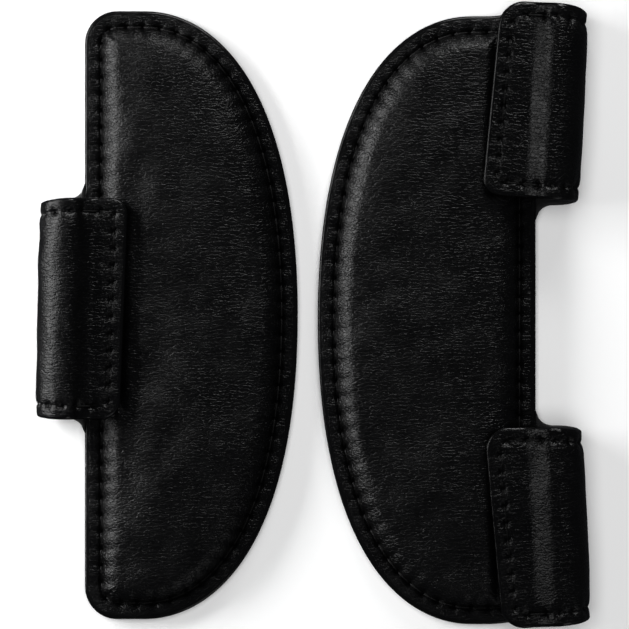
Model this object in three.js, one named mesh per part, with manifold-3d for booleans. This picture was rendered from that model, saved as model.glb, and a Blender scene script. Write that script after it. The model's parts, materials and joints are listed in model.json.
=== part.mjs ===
// Belly pad in two half-moon halves. Each half is a foam core between two sewn leather panels.
// Leather tabs on the straight edges wrap over into loops for a bar and close on the pad's front.
// Millimetres, +Z up. Both halves lie with their backs on Z = 0.

import * as THREE from 'three';
import { mergeVertices } from 'three/addons/utils/BufferGeometryUtils.js';
import Module from 'manifold-3d';

const wasm = await Module();
wasm.setup();

// ---- driving dimensions ------------------------------------------------------------------

const PAD_LENGTH = 180;
const CORNER_RADIUS = 9.5;
const SMALLEST_CORNER = 1.5;
const CURVE_RUN = 45.6; // how far the curved side runs back along the pad's end
const CURVE_SIDE_HANDLE = 65;
const CURVE_END_HANDLE = 23;

const LEATHER = 1.5;
const FRONT_LEATHER = 1.4;
const LINING = 1;
const PLY_GAP = 0.1;
const FRONT_BASE = LEATHER + PLY_GAP;
const FLANGE_TOP = FRONT_BASE + FRONT_LEATHER;
const SEAM_INSET = 4.8;

const CROWN_INSET = 5.8;
const CROWN_SLOPE = 8;
const CROWN_TOP = 9.6;
const FOAM_CLEARANCE = 0.3;
const SHELF_TOP = 6; // the front is pressed down to this height under a flap

const LOOP_HEIGHT = 16.5;
const FOLD_HEIGHT = 7.8; // height of the outermost line of a loop
const LOWER_BEND = 6;
const UPPER_BEND = 7;
const FLAP_TOP = 11.2;
const DESCENT_END = -2.5;
const SPLIT_GAP = 0.3;
const FLAP_CORNER = 5.5;
const ROOT_FILLET = 5;
const LEG_OVERLAP = 12;

const PATCH_WIDTH = 7.5;
const PATCH_MARGIN = 1.5;
const LOOP_PATCH = { base: SHELF_TOP + 0.1, thickness: 1.2 };
const HOOK_PATCH = { base: SHELF_TOP + 1.4, thickness: 1.1 };

const THREAD_RADIUS = 0.35;
const THREAD_LIFT = 0.6; // centre of a thread above the leather that it lies on
const FLAP_SEAM_INSET = 4;

const RING_LEVELS = 5;
const BEND_STEPS = 7;
const TALL = 30; // cutting prisms reach past every piece

const left = { name: 'left', width: 63, position: [-67.4, 0], turn: Math.PI };
const right = { name: 'right', width: 64.5, position: [66, -1.5], turn: 0 };

// A tab's centre and width run along the straight edge, in the frame of its own half. Its reach is
// how far the loop stands out from that edge, and its overlap how far the flap comes back inside it.
// The tilt, in degrees, is the angle between the fold and the straight edge.
left.tabs = [
  {
    name: 'left_tab',
    patch: 'left_loop_patch',
    centre: -2.1,
    width: 65.2,
    reach: 13.3,
    overlap: 11.8,
    tilt: 1.1,
  },
];
right.tabs = [
  {
    name: 'right_upper_tab',
    patch: 'right_upper_loop_patch',
    centre: 63,
    width: 58,
    reach: 13.2,
    overlap: 13.4,
    tilt: 2.8,
  },
  {
    name: 'right_lower_tab',
    patch: 'right_lower_loop_patch',
    centre: -59.9,
    width: 57.6,
    reach: 14.5,
    overlap: 12.7,
    tilt: -2.6,
  },
];

// ---- materials ---------------------------------------------------------------------------

function material(color, roughness) {
  return new THREE.MeshStandardMaterial({ color, roughness, metalness: 0 });
}

const blackLeather = material(0x1d1d1e, 0.5);
const lining = material(0x232325, 0.65);
const thread = material(0x101011, 0.6);
const foam = material(0x3a3a3c, 0.95);
const tape = material(0x161617, 0.9);

// ---- solids ------------------------------------------------------------------------------

function solid(geometry) {
  const bare = geometry.clone();
  bare.deleteAttribute('normal');
  bare.deleteAttribute('uv');
  const merged = mergeVertices(bare, 1e-4);
  const vertProperties = new Float32Array(merged.attributes.position.array);
  const triVerts = new Uint32Array(merged.index.array);
  return new wasm.Manifold(new wasm.Mesh({ numProp: 3, vertProperties, triVerts }));
}

function namedMesh(name, shape, look) {
  let geometry = shape;
  if (shape instanceof wasm.Manifold) {
    const { vertProperties, triVerts } = shape.getMesh();
    geometry = new THREE.BufferGeometry();
    geometry.setAttribute('position', new THREE.BufferAttribute(vertProperties, 3));
    geometry.setIndex(new THREE.BufferAttribute(triVerts, 1));
    geometry.computeVertexNormals();
  }
  const mesh = new THREE.Mesh(geometry, look);
  mesh.name = name;
  return mesh;
}

function slab(points, low, high) {
  const geometry = new THREE.ExtrudeGeometry(new THREE.Shape(points), {
    depth: high - low,
    bevelEnabled: false,
  });
  return geometry.translate(0, 0, low);
}

function box(x, y, z) {
  const geometry = new THREE.BoxGeometry(x[1] - x[0], y[1] - y[0], z[1] - z[0]);
  return geometry.translate((x[0] + x[1]) / 2, (y[0] + y[1]) / 2, (z[0] + z[1]) / 2);
}

/** A closed body through outlines of equal point count, each at its own height, from the bottom up. */
function loft(rings, heights) {
  const count = rings[0].length;
  const positions = [];
  rings.forEach((ring, level) => {
    ring.forEach((point) => positions.push(point.x, point.y, heights[level]));
  });
  const faces = [];
  for (let level = 0; level + 1 < rings.length; level += 1) {
    for (let i = 0; i < count; i += 1) {
      const a = level * count + i;
      const b = level * count + ((i + 1) % count);
      faces.push(a, b, b + count, a, b + count, a + count);
    }
  }
  const top = (rings.length - 1) * count;
  for (const [a, b, c] of THREE.ShapeUtils.triangulateShape(rings[0], [])) {
    faces.push(a, c, b);
  }
  for (const [a, b, c] of THREE.ShapeUtils.triangulateShape(rings.at(-1), [])) {
    faces.push(top + a, top + b, top + c);
  }
  const geometry = new THREE.BufferGeometry();
  geometry.setAttribute('position', new THREE.Float32BufferAttribute(positions, 3));
  geometry.setIndex(faces);
  return geometry;
}

/** A thread along 3-D points. */
function threadGeometry(points, steps) {
  const section = new THREE.Shape();
  section.absarc(0, 0, THREAD_RADIUS, 0, 2 * Math.PI);
  return new THREE.ExtrudeGeometry(section, {
    extrudePath: new THREE.CatmullRomCurve3(points),
    steps,
    curveSegments: 3,
    bevelEnabled: false,
  });
}

// ---- outlines ----------------------------------------------------------------------------

function arcPoints(centre, radius, from, to, count) {
  const points = [];
  for (let i = 0; i <= count; i += 1) {
    const angle = from + ((to - from) * i) / count;
    points.push(
      new THREE.Vector2(centre[0] + radius * Math.cos(angle), centre[1] + radius * Math.sin(angle)),
    );
  }
  return points;
}

/**
 * The half-moon, anticlockwise, moved in by inset. Its straight edge is on x = 0, and its curved
 * side reaches x = -width. Outlines with different insets have the same number of points.
 */
function halfMoon(width, inset) {
  const half = PAD_LENGTH / 2;
  const corner = Math.max(CORNER_RADIUS - inset, SMALLEST_CORNER);
  const cornerX = -inset - corner;
  const cornerY = half - inset - corner;
  const side = new THREE.CubicBezierCurve(
    new THREE.Vector2(-width + CURVE_RUN, half),
    new THREE.Vector2(-width + CURVE_RUN - CURVE_END_HANDLE, half),
    new THREE.Vector2(-width, CURVE_SIDE_HANDLE),
    new THREE.Vector2(-width, 0),
  );
  const steps = 16;
  const upper = [];
  for (let i = 0; i <= steps; i += 1) {
    const tangent = side.getTangent(i / steps);
    const inward = new THREE.Vector2(-tangent.y, tangent.x).multiplyScalar(inset);
    upper.push(side.getPoint(i / steps).add(inward));
  }
  const lower = upper
    .slice(0, -1)
    .reverse()
    .map((point) => new THREE.Vector2(point.x, -point.y));
  return [
    ...arcPoints([cornerX, cornerY], corner, 0, Math.PI / 2, 5),
    ...upper,
    ...lower,
    ...arcPoints([cornerX, -cornerY], corner, -Math.PI / 2, 0, 5),
  ];
}

/** The flat leg of a tab. A root has a fillet where the straight edge runs on beyond the tab. */
function legOutline(tab) {
  const end = tab.reach - LOWER_BEND - 2;
  const corner = (side) => {
    const edge = tab.centre + (side * tab.width) / 2;
    const inner = new THREE.Vector2(-LEG_OVERLAP, edge);
    const outer = new THREE.Vector2(end, edge);
    if (Math.abs(edge) > PAD_LENGTH / 2 - CORNER_RADIUS) {
      return [inner, outer];
    }
    const centre = [ROOT_FILLET, edge + side * ROOT_FILLET];
    return [
      inner,
      new THREE.Vector2(-1, edge),
      new THREE.Vector2(-1, edge + side * ROOT_FILLET),
      ...arcPoints(centre, ROOT_FILLET, Math.PI, Math.PI + (side * Math.PI) / 2, 5),
      outer,
    ];
  };
  return [...corner(-1), ...corner(1).reverse()];
}

/** Cutting prism over the leg, which keeps the bend to the leg's width and below the fold. */
function legPrism(tab) {
  const half = tab.width / 2;
  const top = FOLD_HEIGHT - SPLIT_GAP / 2;
  return solid(box([-TALL, TALL], [tab.centre - half, tab.centre + half], [-1, top]));
}

// ---- tabs --------------------------------------------------------------------------------

/** Height of a closed tab's outer face at a distance from the straight edge, above the fold. */
function upperHeight(tab, distance) {
  const crest = tab.reach - UPPER_BEND;
  if (distance > crest) {
    const along = (distance - crest) / UPPER_BEND;
    return FOLD_HEIGHT + (LOOP_HEIGHT - FOLD_HEIGHT) * Math.sqrt(Math.max(0, 1 - along * along));
  }
  const along = Math.max(0, (distance - DESCENT_END) / (crest - DESCENT_END));
  return FLAP_TOP + ((LOOP_HEIGHT - FLAP_TOP) * (1 - Math.cos(Math.PI * along))) / 2;
}

/** The outer face's profile from the straight edge to the fold, as x and height. */
function lowerProfile(tab) {
  const points = [new THREE.Vector2(1, 0)];
  const start = tab.reach - LOWER_BEND;
  for (let i = 0; i <= BEND_STEPS; i += 1) {
    const angle = ((Math.PI / 2) * (i - BEND_STEPS)) / BEND_STEPS;
    points.push(
      new THREE.Vector2(start + LOWER_BEND * Math.cos(angle), FOLD_HEIGHT * (1 + Math.sin(angle))),
    );
  }
  points.push(new THREE.Vector2(tab.reach, FOLD_HEIGHT + SPLIT_GAP));
  return points;
}

/** The outer face's profile from the fold to the free edge. */
function upperProfile(tab) {
  const points = [new THREE.Vector2(tab.reach, FOLD_HEIGHT - SPLIT_GAP)];
  const crest = tab.reach - UPPER_BEND;
  for (let i = 0; i <= BEND_STEPS; i += 1) {
    const distance = crest + UPPER_BEND * Math.cos(((Math.PI / 2) * i) / BEND_STEPS);
    points.push(new THREE.Vector2(distance, upperHeight(tab, distance)));
  }
  for (let i = 1; i <= BEND_STEPS; i += 1) {
    const distance = crest + ((DESCENT_END - crest) * i) / BEND_STEPS;
    points.push(new THREE.Vector2(distance, upperHeight(tab, distance)));
  }
  points.push(new THREE.Vector2(-TALL, FLAP_TOP));
  return points;
}

/** A ply that follows a profile, between two depths below the outer face, along the tilted fold. */
function ply(tab, profile, outer, inner) {
  const at = (i, depth) => {
    const before = profile[Math.max(i - 1, 0)];
    const after = profile[Math.min(i + 1, profile.length - 1)];
    const along = after.clone().sub(before).normalize();
    return new THREE.Vector2(profile[i].x - along.y * depth, profile[i].y + along.x * depth);
  };
  const near = profile.map((_, i) => at(i, outer));
  const far = profile.map((_, i) => at(i, inner)).reverse();
  const length = tab.width + TALL;
  const geometry = new THREE.ExtrudeGeometry(new THREE.Shape([...near, ...far]), {
    depth: length,
    bevelEnabled: false,
  });
  geometry.rotateX(Math.PI / 2);
  geometry.translate(0, length / 2, 0);
  geometry.rotateZ(-THREE.MathUtils.degToRad(tab.tilt));
  return solid(geometry.translate(0, tab.centre, 0));
}

/**
 * Places a geometry drawn in the flap's own plan, where x runs from the fold to the free edge and
 * y across, on the pad. Folding along a tilted line turns the flap by twice the tilt.
 */
function placeOnFlap(tab, geometry) {
  const tilt = THREE.MathUtils.degToRad(tab.tilt);
  geometry.rotateZ(Math.PI - 2 * tilt);
  return geometry.translate(tab.reach / Math.cos(tilt), tab.centre, 0);
}

function flapLength(tab) {
  return tab.reach + tab.overlap;
}

/** Cutting prism over the flap, which rounds its free corners and starts above the fold. */
function flapPrism(tab) {
  const half = tab.width / 2;
  const end = flapLength(tab);
  const outline = [
    new THREE.Vector2(-TALL / 3, -half),
    ...arcPoints([end - FLAP_CORNER, FLAP_CORNER - half], FLAP_CORNER, -Math.PI / 2, 0, 5),
    ...arcPoints([end - FLAP_CORNER, half - FLAP_CORNER], FLAP_CORNER, 0, Math.PI / 2, 5),
    new THREE.Vector2(-TALL / 3, half),
  ];
  return solid(placeOnFlap(tab, slab(outline, FOLD_HEIGHT + SPLIT_GAP / 2, TALL)));
}

function patchGeometry(tab, patch) {
  const end = flapLength(tab) - PATCH_MARGIN;
  const half = tab.width / 2 - PATCH_MARGIN - FLAP_SEAM_INSET;
  const top = patch.base + patch.thickness;
  return placeOnFlap(tab, box([end - PATCH_WIDTH, end], [-half, half], [patch.base, top]));
}

/** Seam thread round the flap's three free sides. */
function flapThread(tab) {
  const tilt = THREE.MathUtils.degToRad(tab.tilt);
  const half = tab.width / 2 - FLAP_SEAM_INSET;
  const end = flapLength(tab) - FLAP_SEAM_INSET;
  const start = 2.5;
  const plan = [];
  for (let i = 0; i <= 12; i += 1) {
    plan.push([start + ((end - 2 - start) * i) / 12, -half]);
  }
  for (let i = 0; i <= 8; i += 1) {
    plan.push([end, -half + 2 + ((2 * half - 4) * i) / 8]);
  }
  for (let i = 12; i >= 0; i -= 1) {
    plan.push([start + ((end - 2 - start) * i) / 12, half]);
  }
  const points = plan.map(([along, across]) => {
    // distance from the straight edge, square to the fold, fixes the height
    const distance = tab.reach - along * Math.cos(tilt) - across * Math.sin(tilt);
    return new THREE.Vector3(along, across, upperHeight(tab, distance) + THREAD_LIFT);
  });
  return placeOnFlap(tab, threadGeometry(points, 48));
}

function buildTab(tab) {
  const profile = upperProfile(tab);
  const prism = flapPrism(tab);
  const linerTop = LEATHER + PLY_GAP;
  const group = new THREE.Group();
  group.add(
    namedMesh(`${tab.name}_leather`, ply(tab, profile, 0, LEATHER).intersect(prism), blackLeather),
    namedMesh(
      `${tab.name}_lining`,
      ply(tab, profile, linerTop, linerTop + LINING).intersect(prism),
      lining,
    ),
    namedMesh(`${tab.name}_thread`, flapThread(tab), thread),
    namedMesh(`${tab.name}_hook_patch`, patchGeometry(tab, HOOK_PATCH), tape),
  );
  return group;
}

// ---- halves ------------------------------------------------------------------------------

function backPanel(half) {
  let panel = solid(slab(halfMoon(half.width, 0), 0, LEATHER));
  for (const tab of half.tabs) {
    const bend = ply(tab, lowerProfile(tab), 0, LEATHER).intersect(legPrism(tab));
    panel = panel.add(solid(slab(legOutline(tab), 0, LEATHER))).add(bend);
  }
  return panel;
}

/** The puffed shape: steep beside the seam and flat on top, inset and lowered for inner layers. */
function crown(half, base, inset, drop) {
  const rings = [halfMoon(half.width, CROWN_INSET + inset)];
  const heights = [base];
  for (let level = 0; level <= RING_LEVELS; level += 1) {
    const angle = ((Math.PI / 2) * level) / RING_LEVELS;
    const slope = CROWN_SLOPE * (1 - Math.cos(angle));
    rings.push(halfMoon(half.width, CROWN_INSET + inset + slope));
    heights.push(FLANGE_TOP - drop + (CROWN_TOP - FLANGE_TOP) * Math.sin(angle));
  }
  return solid(loft(rings, heights));
}

/** Removes what stands above the shelf under each flap. */
function pressDown(half, body, grow, height) {
  let pressed = body;
  for (const tab of half.tabs) {
    const reachX = [-tab.overlap - 3.5 - grow, TALL];
    const side = tab.width / 2 + 3.5 + grow;
    const sideY = [tab.centre - side, tab.centre + side];
    pressed = pressed.subtract(solid(box(reachX, sideY, [height, TALL])));
  }
  return pressed;
}

function frontPanel(half) {
  const flange = solid(slab(halfMoon(half.width, 0), FRONT_BASE, FLANGE_TOP));
  const puffed = pressDown(half, crown(half, FRONT_BASE, 0, 0), 0, SHELF_TOP);
  const hollow = pressDown(
    half,
    crown(half, 0, FRONT_LEATHER, FRONT_LEATHER),
    FRONT_LEATHER,
    SHELF_TOP - FRONT_LEATHER,
  );
  let panel = flange.add(puffed).subtract(hollow);
  for (const tab of half.tabs) {
    const liningTop = FRONT_BASE + LINING;
    const bend = ply(tab, lowerProfile(tab), FRONT_BASE, liningTop).intersect(legPrism(tab));
    const leg = solid(slab(legOutline(tab), FRONT_BASE, liningTop)).subtract(hollow);
    panel = panel.add(leg).add(bend);
  }
  return panel;
}

function foamCore(half) {
  const inset = FRONT_LEATHER + FOAM_CLEARANCE;
  return pressDown(half, crown(half, FRONT_BASE, inset, inset), inset, SHELF_TOP - inset);
}

/** Perimeter seam thread on the flat border. It starts and ends beside itself. */
function seamThread(half) {
  const outline = halfMoon(half.width, SEAM_INSET);
  const first = new THREE.Vector2(-SEAM_INSET, 1);
  const last = new THREE.Vector2(-SEAM_INSET, -1);
  const points = [first, ...outline, last].map(
    (point) => new THREE.Vector3(point.x, point.y, FLANGE_TOP + THREAD_LIFT),
  );
  return threadGeometry(points, 96);
}

function buildHalf(half) {
  const group = new THREE.Group();
  group.add(
    namedMesh(`${half.name}_back_panel`, backPanel(half), blackLeather),
    namedMesh(`${half.name}_front_panel`, frontPanel(half), blackLeather),
    namedMesh(`${half.name}_foam_core`, foamCore(half), foam),
    namedMesh(`${half.name}_seam_thread`, seamThread(half), thread),
  );
  for (const tab of half.tabs) {
    group.add(namedMesh(tab.patch, patchGeometry(tab, LOOP_PATCH), tape));
    group.add(buildTab(tab));
  }
  group.rotation.z = half.turn;
  group.position.set(half.position[0], half.position[1], 0);
  return group;
}

const model = new THREE.Group();
model.add(buildHalf(left), buildHalf(right));

// the origin is under the middle of the whole layout
model.updateMatrixWorld(true);
const middle = new THREE.Box3().setFromObject(model).getCenter(new THREE.Vector3());
model.position.set(-middle.x, -middle.y, 0);

export default model;
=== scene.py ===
"""Trainer belly pad: two half-moon leather pads with wrap-over tabs, built round the CAD frame.

Shapes are worked out in millimetres in each half's own frame, with the straight edge on x = 0, the
curved side at -x, the tabs at +x and the back on z = 0, and placed in metres on the CAD.
"""

import json
import math

import bpy
import numpy as np
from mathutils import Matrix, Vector
from mathutils.bvhtree import BVHTree
from mathutils.geometry import delaunay_2d_cdt

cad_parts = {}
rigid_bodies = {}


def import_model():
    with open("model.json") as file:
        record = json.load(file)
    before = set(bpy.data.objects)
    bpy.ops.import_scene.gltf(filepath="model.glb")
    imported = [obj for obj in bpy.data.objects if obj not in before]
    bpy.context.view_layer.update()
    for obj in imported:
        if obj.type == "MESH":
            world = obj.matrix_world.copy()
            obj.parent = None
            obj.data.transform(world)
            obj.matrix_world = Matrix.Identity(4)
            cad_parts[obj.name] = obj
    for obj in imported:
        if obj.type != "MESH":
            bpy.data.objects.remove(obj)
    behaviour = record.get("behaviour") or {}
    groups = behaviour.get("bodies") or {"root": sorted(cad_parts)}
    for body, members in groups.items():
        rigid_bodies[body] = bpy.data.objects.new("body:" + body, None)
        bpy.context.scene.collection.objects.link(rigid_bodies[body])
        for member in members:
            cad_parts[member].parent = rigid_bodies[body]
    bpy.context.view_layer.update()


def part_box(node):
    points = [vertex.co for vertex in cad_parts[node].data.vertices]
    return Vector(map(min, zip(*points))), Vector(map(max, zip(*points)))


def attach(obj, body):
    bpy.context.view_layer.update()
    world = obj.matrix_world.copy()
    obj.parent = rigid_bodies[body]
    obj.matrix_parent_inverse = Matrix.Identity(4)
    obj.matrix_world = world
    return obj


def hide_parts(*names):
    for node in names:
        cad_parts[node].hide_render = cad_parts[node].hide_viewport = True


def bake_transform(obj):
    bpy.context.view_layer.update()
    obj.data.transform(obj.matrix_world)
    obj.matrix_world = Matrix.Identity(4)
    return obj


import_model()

# ---- driving dimensions, in millimetres ----------------------------------------------------

MM = 0.001

PAD_HALF = 90.0
CURVE_RUN = 45.6
CURVE_SIDE_HANDLE = 65.0
CURVE_END_HANDLE = 23.0

LEATHER = 1.5
LINING = 1.0
FRONT_BASE = 1.6
FLANGE_TOP = 3.0
SEAM_INSET = 4.8
PITCH = 5.0

SHOULDER_RISE = 3.7
SHOULDER_RUN = 6.5
CROWN_RISE = 3.1
CROWN_RUN = 22.0
SHELF = 5.9

FOLD_HEIGHT = 7.8
LOOP_HEIGHT = 16.5
LOWER_BEND = 6.0
UPPER_BEND = 8.5
FLAP_TOP = 11.2
DESCENT_END = -3.0
FLAP_SEAM = 3.9
ROOT_FILLET = 5.0

THREAD = 0.3

# gaps and thicknesses between the layers
FRONT_THICKNESS = 1.3
LAYER_GAP = 0.02
FOAM_DROP = 1.55
PLY_GAP = 0.08

# points round a pad's outline, and the spacing of the points that fill its middle
OUTLINE_POINTS = 860
FOAM_POINTS = 430
COVER_POINTS = 240
FILL_SPACING = 0.85
INSIDE_SPACING = 3.0
FOAM_SPACING = 2.0
COVER_SPACING = 2.6

# the cloth run that gives the crown its fullness
COVER_PRESSURE = 4.0
LAST_FRAME = 20

# a tab's path is worked out from BEFORE_ROOT ahead of the straight edge to RUN_ON past the free end
BEFORE_ROOT = 3.0
RUN_ON = 12.0
PATH_STEP = 0.25
BEND_POINTS = 40

TABS = {
    "left_tab": {
        "half": "left",
        "centre": -1.9,
        "width": 65.2,
        "reach": 13.3,
        "overlap": 11.8,
        "tilt": 1.1,
        "flare": (True, True),
        "corner": (5.0, 5.6),
        "waist": (1.0, 0.8),
        "levelled": (1.0, 1.0),
        "loop_patch": "left_loop_patch",
    },
    "right_upper_tab": {
        "half": "right",
        "centre": 63.0,
        "width": 58.0,
        "reach": 13.6,
        "overlap": 13.4,
        "tilt": 2.8,
        "flare": (True, False),
        "corner": (4.5, 7.5),
        "waist": (0.6, 1.6),
        "levelled": (0.0, 0.2),
        "loop_patch": "right_upper_loop_patch",
    },
    "right_lower_tab": {
        "half": "right",
        "centre": -59.9,
        "width": 57.6,
        "reach": 14.5,
        "overlap": 12.7,
        "tilt": -2.6,
        "flare": (False, True),
        "corner": (7.0, 7.5),
        "waist": (0.8, 0.8),
        "levelled": (0.15, 0.85),
        "loop_patch": "right_lower_loop_patch",
    },
}

HALVES = {
    "left": {
        "width": 63.0,
        "turn": -1.0,
        "low": (-90.0, 9.5),
        "high": (90.0, 9.5),
        "seed": 3,
    },
    "right": {
        "width": 64.5,
        "turn": 1.0,
        "low": (-88.7, 1.0),
        "high": (92.0, 1.0),
        "seed": 8,
    },
}


def place_halves():
    """Puts each half's own origin where its CAD front panel is."""
    low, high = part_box("left_front_panel")
    HALVES["left"]["origin"] = (high[0] / MM - HALVES["left"]["width"], (low[1] + high[1]) / 2 / MM)
    low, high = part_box("right_front_panel")
    HALVES["right"]["origin"] = (low[0] / MM + HALVES["right"]["width"], low[1] / MM + PAD_HALF)


place_halves()

# ---- small numeric helpers ------------------------------------------------------------------


def smooth(t):
    t = np.clip(t, 0.0, 1.0)
    return t * t * (3 - 2 * t)


def bell(x, width):
    return np.exp(-((x / width) ** 2))


def soft_min(a, b, k):
    h = np.clip(0.5 + 0.5 * (b - a) / k, 0.0, 1.0)
    return b * (1 - h) + a * h - k * h * (1 - h)


def waves(x, y, seed, size, count=14):
    """Smooth, seeded, irregular relief between about -1 and 1, with features of about size mm."""
    rng = np.random.default_rng(seed)
    total = np.zeros(np.shape(x))
    for _ in range(count):
        angle = rng.uniform(0, math.tau)
        wave = math.tau / (size * rng.uniform(0.7, 1.8))
        phase = rng.uniform(0, math.tau)
        total += np.sin(wave * (np.cos(angle) * x + np.sin(angle) * y) + phase)
    return total / math.sqrt(count)


def nearest_on_path(points, path):
    """Distance to a polyline, and how far along it the nearest place is, for 2-D points."""
    a = path[:-1]
    step = path[1:] - a
    length = np.linalg.norm(step, axis=1)
    start = np.concatenate([[0.0], np.cumsum(length)[:-1]])
    square = np.maximum(length**2, 1e-12)
    distance = np.empty(len(points))
    along = np.empty(len(points))
    block = 4000
    for first in range(0, len(points), block):
        p = points[first : first + block, None, :]
        t = np.clip(((p - a) * step).sum(2) / square, 0, 1)
        gap = np.linalg.norm(p - (a + t[..., None] * step), axis=2)
        best = gap.argmin(1)
        rows = np.arange(len(best))
        distance[first : first + block] = gap[rows, best]
        along[first : first + block] = start[best] + t[rows, best] * length[best]
    return distance, along


def inside_of(ring, points):
    """Which 2-D points lie inside a closed ring."""
    x, y = points[:, 0, None], points[:, 1, None]
    x1, y1 = ring.T
    x2, y2 = np.roll(ring, -1, axis=0).T
    crosses = (y1 > y) != (y2 > y)
    rise = np.where(y2 == y1, 1.0, y2 - y1)
    return (crosses & (x < (x2 - x1) * (y - y1) / rise + x1)).sum(1) % 2 == 1


def fill_inside(ring, spacing):
    """Triangles over the inside of a closed ring, with added points spacing apart. The ring's own
    points come first."""
    low, high = ring.min(0), ring.max(0)
    rows = np.arange(low[1], high[1], spacing * 0.866)
    columns = np.arange(low[0], high[0], spacing)
    x, y = np.meshgrid(columns, rows)
    x = x + (np.arange(len(rows)) % 2)[:, None] * spacing / 2
    grid = np.column_stack([x.ravel(), y.ravel()])
    gap, _ = nearest_on_path(grid, np.concatenate([ring, ring[:1]]))
    grid = grid[inside_of(ring, grid) & (gap > 0.6 * spacing)]
    points = np.concatenate([ring, grid])
    outline = list(range(len(ring)))
    made = delaunay_2d_cdt([Vector(p) for p in points], [], [outline], 1, 1e-6)
    source = [kept[0] for kept in made[3]]
    return points, [tuple(source[i] for i in face) for face in made[2]]


def at_spacing(path, pitch):
    """Points along a polyline at a whole number of nearly pitch-long steps."""
    length = np.linalg.norm(np.diff(path, axis=0), axis=1)
    along = np.concatenate([[0.0], np.cumsum(length)])
    count = max(2, round(along[-1] / pitch))
    wanted = np.linspace(0, along[-1], count + 1)
    return np.stack([np.interp(wanted, along, path[:, k]) for k in range(path.shape[1])], 1)


def spread(edges, fine, total):
    """Grid lines from 0 to total: close together at both ends, as in edges, and fine apart between."""
    inner = np.linspace(edges[-1], total - edges[-1], max(2, round((total - 2 * edges[-1]) / fine)))
    return np.concatenate([edges[:-1], inner, total - np.array(edges[:-1])[::-1]])


# ---- meshes ---------------------------------------------------------------------------------


def place(half, points):
    """From a half's own millimetres to metres in the row frame."""
    x0, y0 = HALVES[half]["origin"]
    turn = HALVES[half]["turn"]
    out = np.empty_like(points)
    out[:, 0] = (x0 + turn * points[:, 0]) * MM
    out[:, 1] = (y0 + turn * points[:, 1]) * MM
    out[:, 2] = points[:, 2] * MM
    return out


def mesh_object(name, points, faces, material, flat=None, marks=None):
    """A smooth-shaded mesh. flat is its unrolled pattern, in metres, which the leather grain follows,
    and marks is 1 on rubbed or painted edges."""
    data = bpy.data.meshes.new(name)
    data.from_pydata([tuple(p) for p in points], [], faces)
    data.validate()
    data.shade_smooth()
    if flat is not None:
        attribute = data.attributes.new("flat", "FLOAT_VECTOR", "POINT")
        attribute.data.foreach_set("vector", np.asarray(flat, np.float32).ravel())
    if marks is not None:
        attribute = data.attributes.new("edge", "FLOAT", "POINT")
        attribute.data.foreach_set("value", np.asarray(marks, np.float32))
    data.materials.append(material)
    piece = bpy.data.objects.new(name, data)
    bpy.context.scene.collection.objects.link(piece)
    return piece


def grid_faces(rows, columns, start=0, closed=False, flip=False):
    """Quads over a grid of points in row order. closed joins the last column to the first."""
    faces = []
    for r in range(rows - 1):
        for c in range(columns if closed else columns - 1):
            d = (c + 1) % columns
            quad = (
                start + r * columns + c,
                start + r * columns + d,
                start + (r + 1) * columns + d,
                start + (r + 1) * columns + c,
            )
            faces.append(quad[::-1] if flip else quad)
    return faces


def sheet_faces(rows, columns):
    """A closed sheet: a grid of outer points, then the same grid of inner points, and the rim."""
    size = rows * columns
    faces = grid_faces(rows, columns) + grid_faces(rows, columns, size, flip=True)
    rim = list(range(columns))
    rim += [r * columns + columns - 1 for r in range(1, rows)]
    rim += [(rows - 1) * columns + c for c in range(columns - 2, -1, -1)]
    rim += [r * columns for r in range(rows - 2, 0, -1)]
    for a, b in zip(rim, rim[1:] + rim[:1]):
        faces.append((b, a, a + size, b + size))
    return faces


def tubes(runs, radius, sides=8):
    """Round threads along runs of 3-D points, each closed by its own end faces."""
    points = []
    faces = []
    for run in runs:
        run = np.asarray(run)
        along = np.gradient(run, axis=0)
        along /= np.linalg.norm(along, axis=1)[:, None]
        up = np.tile([0.0, 0.0, 1.0], (len(run), 1))
        up[np.abs(along[:, 2]) > 0.9] = [1.0, 0.0, 0.0]
        side = np.cross(along, up)
        side /= np.linalg.norm(side, axis=1)[:, None]
        up = np.cross(side, along)
        start = len(points)
        for k in range(len(run)):
            # ends taper a little, where the thread dives into its hole
            r = radius * (0.75 if k in (0, len(run) - 1) else 1.0)
            for i in range(sides):
                angle = math.tau * i / sides
                points.append(run[k] + r * (math.cos(angle) * side[k] + math.sin(angle) * up[k]))
        faces += grid_faces(len(run), sides, start, closed=True, flip=True)
        faces.append(tuple(start + i for i in range(sides)))
        faces.append(tuple(start + (len(run) - 1) * sides + i for i in reversed(range(sides))))
    return np.array(points), faces


def stitches(holes, normals, radius, dip, crest):
    """One thread run from each hole to the next. It dips into both holes and rises between them."""
    runs = []
    t = np.linspace(0, 1, 11)[:, None]
    for a, b, na, nb in zip(holes[:-1], holes[1:], normals[:-1], normals[1:]):
        rise = -dip + (dip + crest) * np.sin(math.pi * t) ** 0.45
        along = 0.07 + 0.86 * t
        runs.append(a + (b - a) * along + (na + (nb - na) * along) * rise)
    return tubes(runs, radius)


def seam_relief(across, along, outside, inside, groove=0.4, hole=1.2):
    """Height change round a lock-stitch seam. across is the distance from it, positive inside, and
    along counts stitches, with a hole at each whole number."""
    to_hole = np.abs(along - np.round(along)) * PITCH
    pinch = np.sin(math.pi * along) ** 2
    reach = np.where(across > 0, 2.4, 1.5)
    height = np.where(across > 0, inside, outside)
    bulge = height * pinch * np.exp(-np.abs(across) / reach) * (1 - bell(across, 0.8))
    pulled = -0.45 * bell(to_hole, 1.2) * np.exp(-np.abs(across) / 1.8)
    pit = hole * bell(across, 0.8) * bell(to_hole, 1.0)
    return bulge + pulled - groove * bell(across, 0.5) - pit


# ---- materials ------------------------------------------------------------------------------


def shader(name):
    material = bpy.data.materials.new(name)
    material.use_nodes = True
    return material, material.node_tree.nodes, material.node_tree.links


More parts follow.
